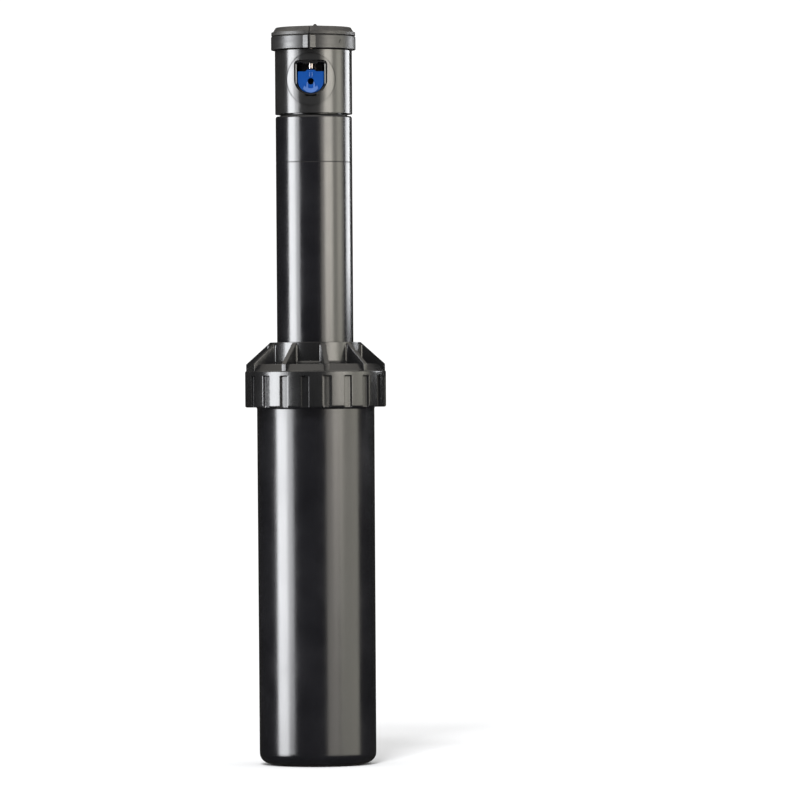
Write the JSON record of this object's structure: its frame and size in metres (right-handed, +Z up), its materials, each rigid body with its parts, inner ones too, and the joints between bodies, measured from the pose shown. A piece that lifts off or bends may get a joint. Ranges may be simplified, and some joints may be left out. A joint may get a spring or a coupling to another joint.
{
  "type": "pop-up rotor sprinkler",
  "caption": "Gear-driven pop-up sprinkler: threaded base inlet, smooth body, ribbed cap, telescoping riser and a turning turret with a recessed nozzle.",
  "frame": {"origin": "centre of the base, on the plane it stands on", "axes": "+Z up along the body and riser, nozzle looks along -Y, +X to its right as seen from the front"},
  "size_m": [0.06, 0.06, 0.3144],
  "materials": {
    "black_plastic": "satin moulded",
    "black_rubber": "matte",
    "blue_plastic": "satin moulded",
    "white_acetal": "smooth",
    "grey_plastic": "smooth",
    "steel": "drawn"
  },
  "bodies": {
    "body": {"body_case": "black_plastic", "body_cap": "black_plastic", "wiper_seal": "black_rubber", "seal_support_ring": "grey_plastic", "body_o_ring": "black_rubber", "retraction_spring": "steel"},
    "riser": {"riser_tube": "black_plastic", "ratchet_ring": "grey_plastic", "strainer": "grey_plastic", "stator_plate": "grey_plastic", "gearbox_case": "grey_plastic", "gearbox_cover": "grey_plastic", "gear_post_a": "steel", "gear_post_b": "steel", "turret_washer": "black_rubber", "toggle_spring": "steel"},
    "turbine": {"turbine_wheel": "white_acetal", "turbine_shaft": "steel", "turbine_pinion": "white_acetal"},
    "first_gear": {"gear_stage_1": "white_acetal"},
    "second_gear": {"gear_stage_2": "white_acetal"},
    "third_gear": {"gear_stage_3": "white_acetal"},
    "turret": {"output_gear": "white_acetal", "drive_tube": "grey_plastic", "turret_housing": "black_plastic", "turret_o_ring": "black_rubber", "turret_retaining_ring": "steel", "nozzle": "blue_plastic", "top_ring": "black_plastic", "rubber_cover": "black_rubber"},
    "screw": {"retention_screw": "steel"},
    "arc_ring": {"arc_stop_ring": "grey_plastic"},
    "arc_shaft": {"arc_adjust_shaft": "grey_plastic"},
    "lever": {"trip_lever": "white_acetal"}
  },
  "joints": [
    {"name": "riser_slide", "type": "slide", "parent": "body", "child": "riser", "axis": [0, 0, 1], "range_m": [-0.1235, 0], "deforming": ["retraction_spring"]},
    {"name": "turret_turn", "type": "hinge", "parent": "riser", "child": "turret", "pos_m": [0, 0, 0.2762], "axis": [0, 0, 1], "range_deg": [-180, 180]},
    {"name": "turbine_spin", "type": "hinge", "parent": "riser", "child": "turbine", "pos_m": [0, 0, 0.22], "axis": [0, 0, 1], "continuous": true},
    {"name": "first_gear_spin", "type": "hinge", "parent": "riser", "child": "first_gear", "pos_m": [0.00288, 0.00499, 0.2272], "axis": [0, 0, 1], "continuous": true},
    {"name": "second_gear_spin", "type": "hinge", "parent": "riser", "child": "second_gear", "pos_m": [-0.00288, 0.00499, 0.2311], "axis": [0, 0, 1], "continuous": true},
    {"name": "third_gear_spin", "type": "hinge", "parent": "riser", "child": "third_gear", "pos_m": [0.00288, 0.00499, 0.235], "axis": [0, 0, 1], "continuous": true},
    {"name": "screw_travel", "type": "slide", "parent": "turret", "child": "screw", "axis": [0, 0, 1], "range_m": [0, 0.0025]},
    {"name": "arc_ring_turn", "type": "hinge", "parent": "turret", "child": "arc_ring", "pos_m": [0, 0, 0.2541], "axis": [0, 0, 1], "range_deg": [0, 300]},
    {"name": "arc_shaft_turn", "type": "hinge", "parent": "turret", "child": "arc_shaft", "pos_m": [0.01, 0, 0.2541], "axis": [0, 0, 1], "continuous": true},
    {"name": "trip_lever_swing", "type": "hinge", "parent": "riser", "child": "lever", "pos_m": [-0.01, 0, 0.247], "axis": [0, 0, 1], "range_deg": [-10, 10]}
  ],
  "couplings": [
    {"joint": "third_gear_spin", "follows": "turret_turn", "ratio": -3},
    {"joint": "second_gear_spin", "follows": "turret_turn", "ratio": 9},
    {"joint": "first_gear_spin", "follows": "turret_turn", "ratio": -27},
    {"joint": "turbine_spin", "follows": "turret_turn", "ratio": 81},
    {"joint": "arc_shaft_turn", "follows": "arc_ring_turn", "ratio": -4}
  ]
}
